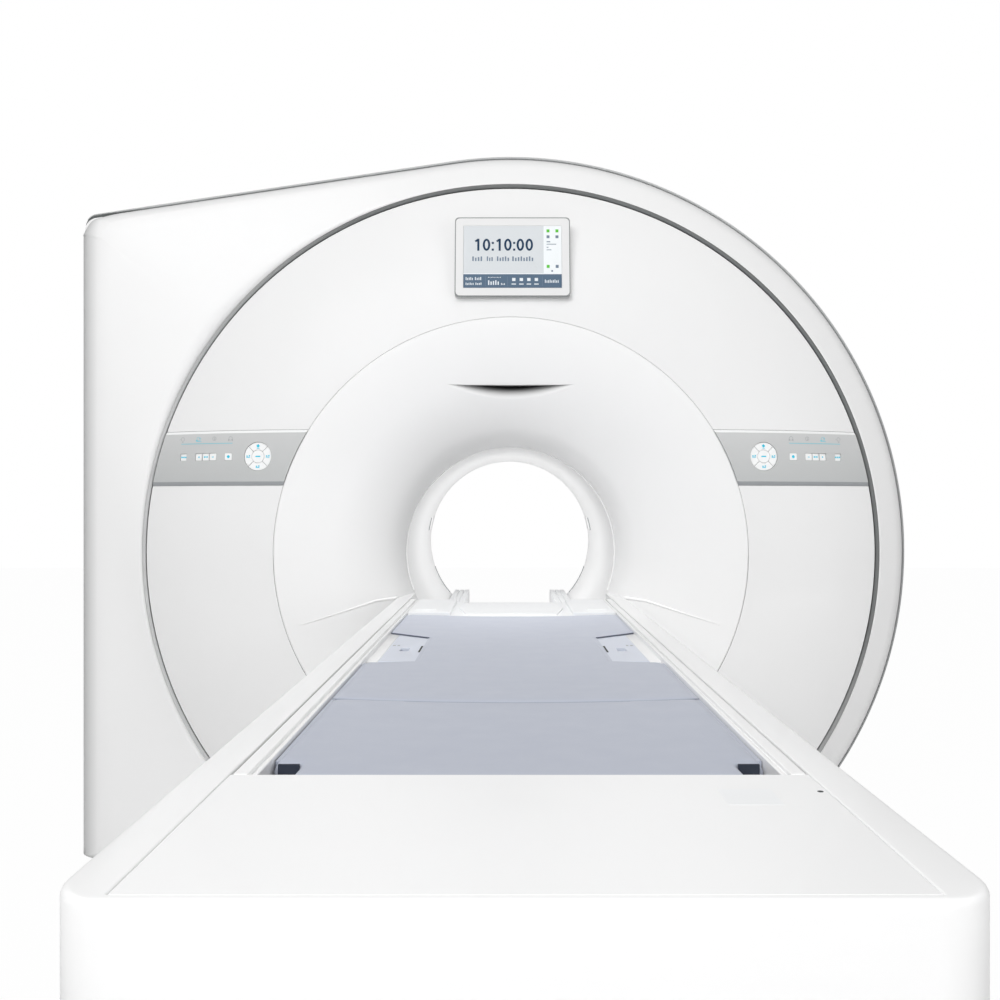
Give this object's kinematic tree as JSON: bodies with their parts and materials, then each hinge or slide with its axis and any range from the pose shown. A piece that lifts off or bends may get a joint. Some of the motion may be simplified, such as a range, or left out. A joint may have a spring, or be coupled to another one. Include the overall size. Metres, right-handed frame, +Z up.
{
  "type": "mri scanner",
  "caption": "Medical imaging scanner: a closed-bore magnet in glossy covers, with a flared mouth, a status display, key panels and a patient table on a telescoping pedestal.",
  "frame": {"origin": "on the floor below the bore's isocentre, the middle of the magnet's floor bolts", "axes": "+X to the viewer's right when facing the front, +Y along the bore to the rear, +Z up"},
  "size_m": [2.3949, 3.426, 2.0548],
  "materials": {
    "cover_white": "gloss",
    "liner_white": "satin",
    "trim_grey": "satin",
    "panel_silver": "satin",
    "key_white": "satin",
    "screen_glass": "gloss",
    "pad_cloth": "matte",
    "socket_grey": "satin",
    "frame_paint": "satin",
    "column_steel": "satin",
    "rail_aluminium": "satin",
    "vessel_aluminium": "satin",
    "coil_resin": "matte",
    "former_plastic": "matte"
  },
  "bodies": {
    "gantry": {"body_coil": "former_plastic", "bore_rail_left": "rail_aluminium", "bore_rail_right": "rail_aluminium", "bore_tube": "liner_white", "cold_head": "column_steel", "control_panel_left": "panel_silver", "control_panel_right": "panel_silver", "cover_frame": "frame_paint", "display_housing": "trim_grey", "display_screen": "screen_glass", "edge_trim": "trim_grey", "front_cover": "cover_white", "funnel_bezel": "cover_white", "gradient_coil": "coil_resin", "lift_column_lower": "column_steel", "magnet_foot_left": "frame_paint", "magnet_foot_right": "frame_paint", "magnet_vessel": "vessel_aluminium", "pedestal_lower": "cover_white", "rear_cover": "cover_white", "ring_panel_lower": "cover_white", "ring_panel_upper": "cover_white", "roof_cover": "cover_white", "side_cover_left": "cover_white", "table_base": "frame_paint", "trim_ring": "trim_grey"},
    "lift_middle": {"pedestal_middle": "cover_white", "lift_column_middle": "column_steel"},
    "table_lift": {"pedestal_upper": "cover_white", "lift_column_upper": "column_steel", "table_frame": "frame_paint", "table_shell": "cover_white", "foot_cover": "cover_white"},
    "cradle_slide": {"cradle": "liner_white", "head_plate": "liner_white", "pad_head": "pad_cloth", "pad_foot": "pad_cloth", "coil_socket_left": "socket_grey", "coil_socket_right": "socket_grey"},
    "dial_core_left_body": {"dial_core_left": "key_white"},
    "dial_core_right_body": {"dial_core_right": "key_white"},
    "dial_down_left_body": {"dial_down_left": "key_white"},
    "dial_down_right_body": {"dial_down_right": "key_white"},
    "dial_left_left_body": {"dial_left_left": "key_white"},
    "dial_left_right_body": {"dial_left_right": "key_white"},
    "dial_right_left_body": {"dial_right_left": "key_white"},
    "dial_right_right_body": {"dial_right_right": "key_white"},
    "dial_up_left_body": {"dial_up_left": "key_white"},
    "dial_up_right_body": {"dial_up_right": "key_white"},
    "key_inner_left_body": {"key_inner_left": "key_white"},
    "key_inner_right_body": {"key_inner_right": "key_white"},
    "key_outer_left_body": {"key_outer_left": "key_white"},
    "key_outer_right_body": {"key_outer_right": "key_white"},
    "key_rocker_high_left_body": {"key_rocker_high_left": "key_white"},
    "key_rocker_high_right_body": {"key_rocker_high_right": "key_white"},
    "key_rocker_low_left_body": {"key_rocker_low_left": "key_white"},
    "key_rocker_low_right_body": {"key_rocker_low_right": "key_white"},
    "key_rocker_mid_left_body": {"key_rocker_mid_left": "key_white"},
    "key_rocker_mid_right_body": {"key_rocker_mid_right": "key_white"}
  },
  "joints": [
    {"name": "lift_stage", "type": "slide", "parent": "gantry", "child": "lift_middle", "axis": [0, 0, 1], "range_m": [-0.135, 0]},
    {"name": "lift", "type": "slide", "parent": "gantry", "child": "table_lift", "axis": [0, 0, 1], "range_m": [-0.27, 0]},
    {"name": "cradle_travel", "type": "slide", "parent": "table_lift", "child": "cradle_slide", "axis": [0, 1, 0], "range_m": [0, 1.7]},
    {"name": "dial_core_left_press", "type": "slide", "parent": "gantry", "child": "dial_core_left_body", "axis": [0.1768, 0.9819, -0.0685], "range_m": [0, 0.001], "stiffness_N_per_m": 1500, "springref_m": -0.001},
    {"name": "dial_core_right_press", "type": "slide", "parent": "gantry", "child": "dial_core_right_body", "axis": [-0.1768, 0.9819, -0.0685], "range_m": [0, 0.001], "stiffness_N_per_m": 1500, "springref_m": -0.001},
    {"name": "dial_down_left_press", "type": "slide", "parent": "gantry", "child": "dial_down_left_body", "axis": [0.1768, 0.9819, -0.0685], "range_m": [0, 0.001], "stiffness_N_per_m": 1500, "springref_m": -0.001},
    {"name": "dial_down_right_press", "type": "slide", "parent": "gantry", "child": "dial_down_right_body", "axis": [-0.1768, 0.9819, -0.0685], "range_m": [0, 0.001], "stiffness_N_per_m": 1500, "springref_m": -0.001},
    {"name": "dial_left_left_press", "type": "slide", "parent": "gantry", "child": "dial_left_left_body", "axis": [0.1768, 0.9819, -0.0685], "range_m": [0, 0.001], "stiffness_N_per_m": 1500, "springref_m": -0.001},
    {"name": "dial_left_right_press", "type": "slide", "parent": "gantry", "child": "dial_left_right_body", "axis": [-0.1768, 0.9819, -0.0685], "range_m": [0, 0.001], "stiffness_N_per_m": 1500, "springref_m": -0.001},
    {"name": "dial_right_left_press", "type": "slide", "parent": "gantry", "child": "dial_right_left_body", "axis": [0.1768, 0.9819, -0.0685], "range_m": [0, 0.001], "stiffness_N_per_m": 1500, "springref_m": -0.001},
    {"name": "dial_right_right_press", "type": "slide", "parent": "gantry", "child": "dial_right_right_body", "axis": [-0.1768, 0.9819, -0.0685], "range_m": [0, 0.001], "stiffness_N_per_m": 1500, "springref_m": -0.001},
    {"name": "dial_up_left_press", "type": "slide", "parent": "gantry", "child": "dial_up_left_body", "axis": [0.1768, 0.9819, -0.0685], "range_m": [0, 0.001], "stiffness_N_per_m": 1500, "springref_m": -0.001},
    {"name": "dial_up_right_press", "type": "slide", "parent": "gantry", "child": "dial_up_right_body", "axis": [-0.1768, 0.9819, -0.0685], "range_m": [0, 0.001], "stiffness_N_per_m": 1500, "springref_m": -0.001},
    {"name": "key_inner_left_press", "type": "slide", "parent": "gantry", "child": "key_inner_left_body", "axis": [0.1792, 0.9819, -0.0618], "range_m": [0, 0.001], "stiffness_N_per_m": 1500, "springref_m": -0.001},
    {"name": "key_inner_right_press", "type": "slide", "parent": "gantry", "child": "key_inner_right_body", "axis": [-0.1792, 0.9819, -0.0618], "range_m": [0, 0.001], "stiffness_N_per_m": 1500, "springref_m": -0.001},
    {"name": "key_outer_left_press", "type": "slide", "parent": "gantry", "child": "key_outer_left_body", "axis": [0.3473, 0.9322, -0.102], "range_m": [0, 0.001], "stiffness_N_per_m": 1500, "springref_m": -0.001},
    {"name": "key_outer_right_press", "type": "slide", "parent": "gantry", "child": "key_outer_right_body", "axis": [-0.3473, 0.9322, -0.102], "range_m": [0, 0.001], "stiffness_N_per_m": 1500, "springref_m": -0.001},
    {"name": "key_rocker_high_left_press", "type": "slide", "parent": "gantry", "child": "key_rocker_high_left_body", "axis": [0.3458, 0.9322, -0.107], "range_m": [0, 0.001], "stiffness_N_per_m": 1500, "springref_m": -0.001},
    {"name": "key_rocker_high_right_press", "type": "slide", "parent": "gantry", "child": "key_rocker_high_right_body", "axis": [-0.3458, 0.9322, -0.107], "range_m": [0, 0.001], "stiffness_N_per_m": 1500, "springref_m": -0.001},
    {"name": "key_rocker_low_left_press", "type": "slide", "parent": "gantry", "child": "key_rocker_low_left_body", "axis": [0.3442, 0.9322, -0.1121], "range_m": [0, 0.001], "stiffness_N_per_m": 1500, "springref_m": -0.001},
    {"name": "key_rocker_low_right_press", "type": "slide", "parent": "gantry", "child": "key_rocker_low_right_body", "axis": [-0.3442, 0.9322, -0.1121], "range_m": [0, 0.001], "stiffness_N_per_m": 1500, "springref_m": -0.001},
    {"name": "key_rocker_mid_left_press", "type": "slide", "parent": "gantry", "child": "key_rocker_mid_left_body", "axis": [0.345, 0.9322, -0.1095], "range_m": [0, 0.001], "stiffness_N_per_m": 1500, "springref_m": -0.001},
    {"name": "key_rocker_mid_right_press", "type": "slide", "parent": "gantry", "child": "key_rocker_mid_right_body", "axis": [-0.345, 0.9322, -0.1095], "range_m": [0, 0.001], "stiffness_N_per_m": 1500, "springref_m": -0.001}
  ],
  "couplings": [
    {"joint": "lift_stage", "follows": "lift", "ratio": 0.5}
  ]
}
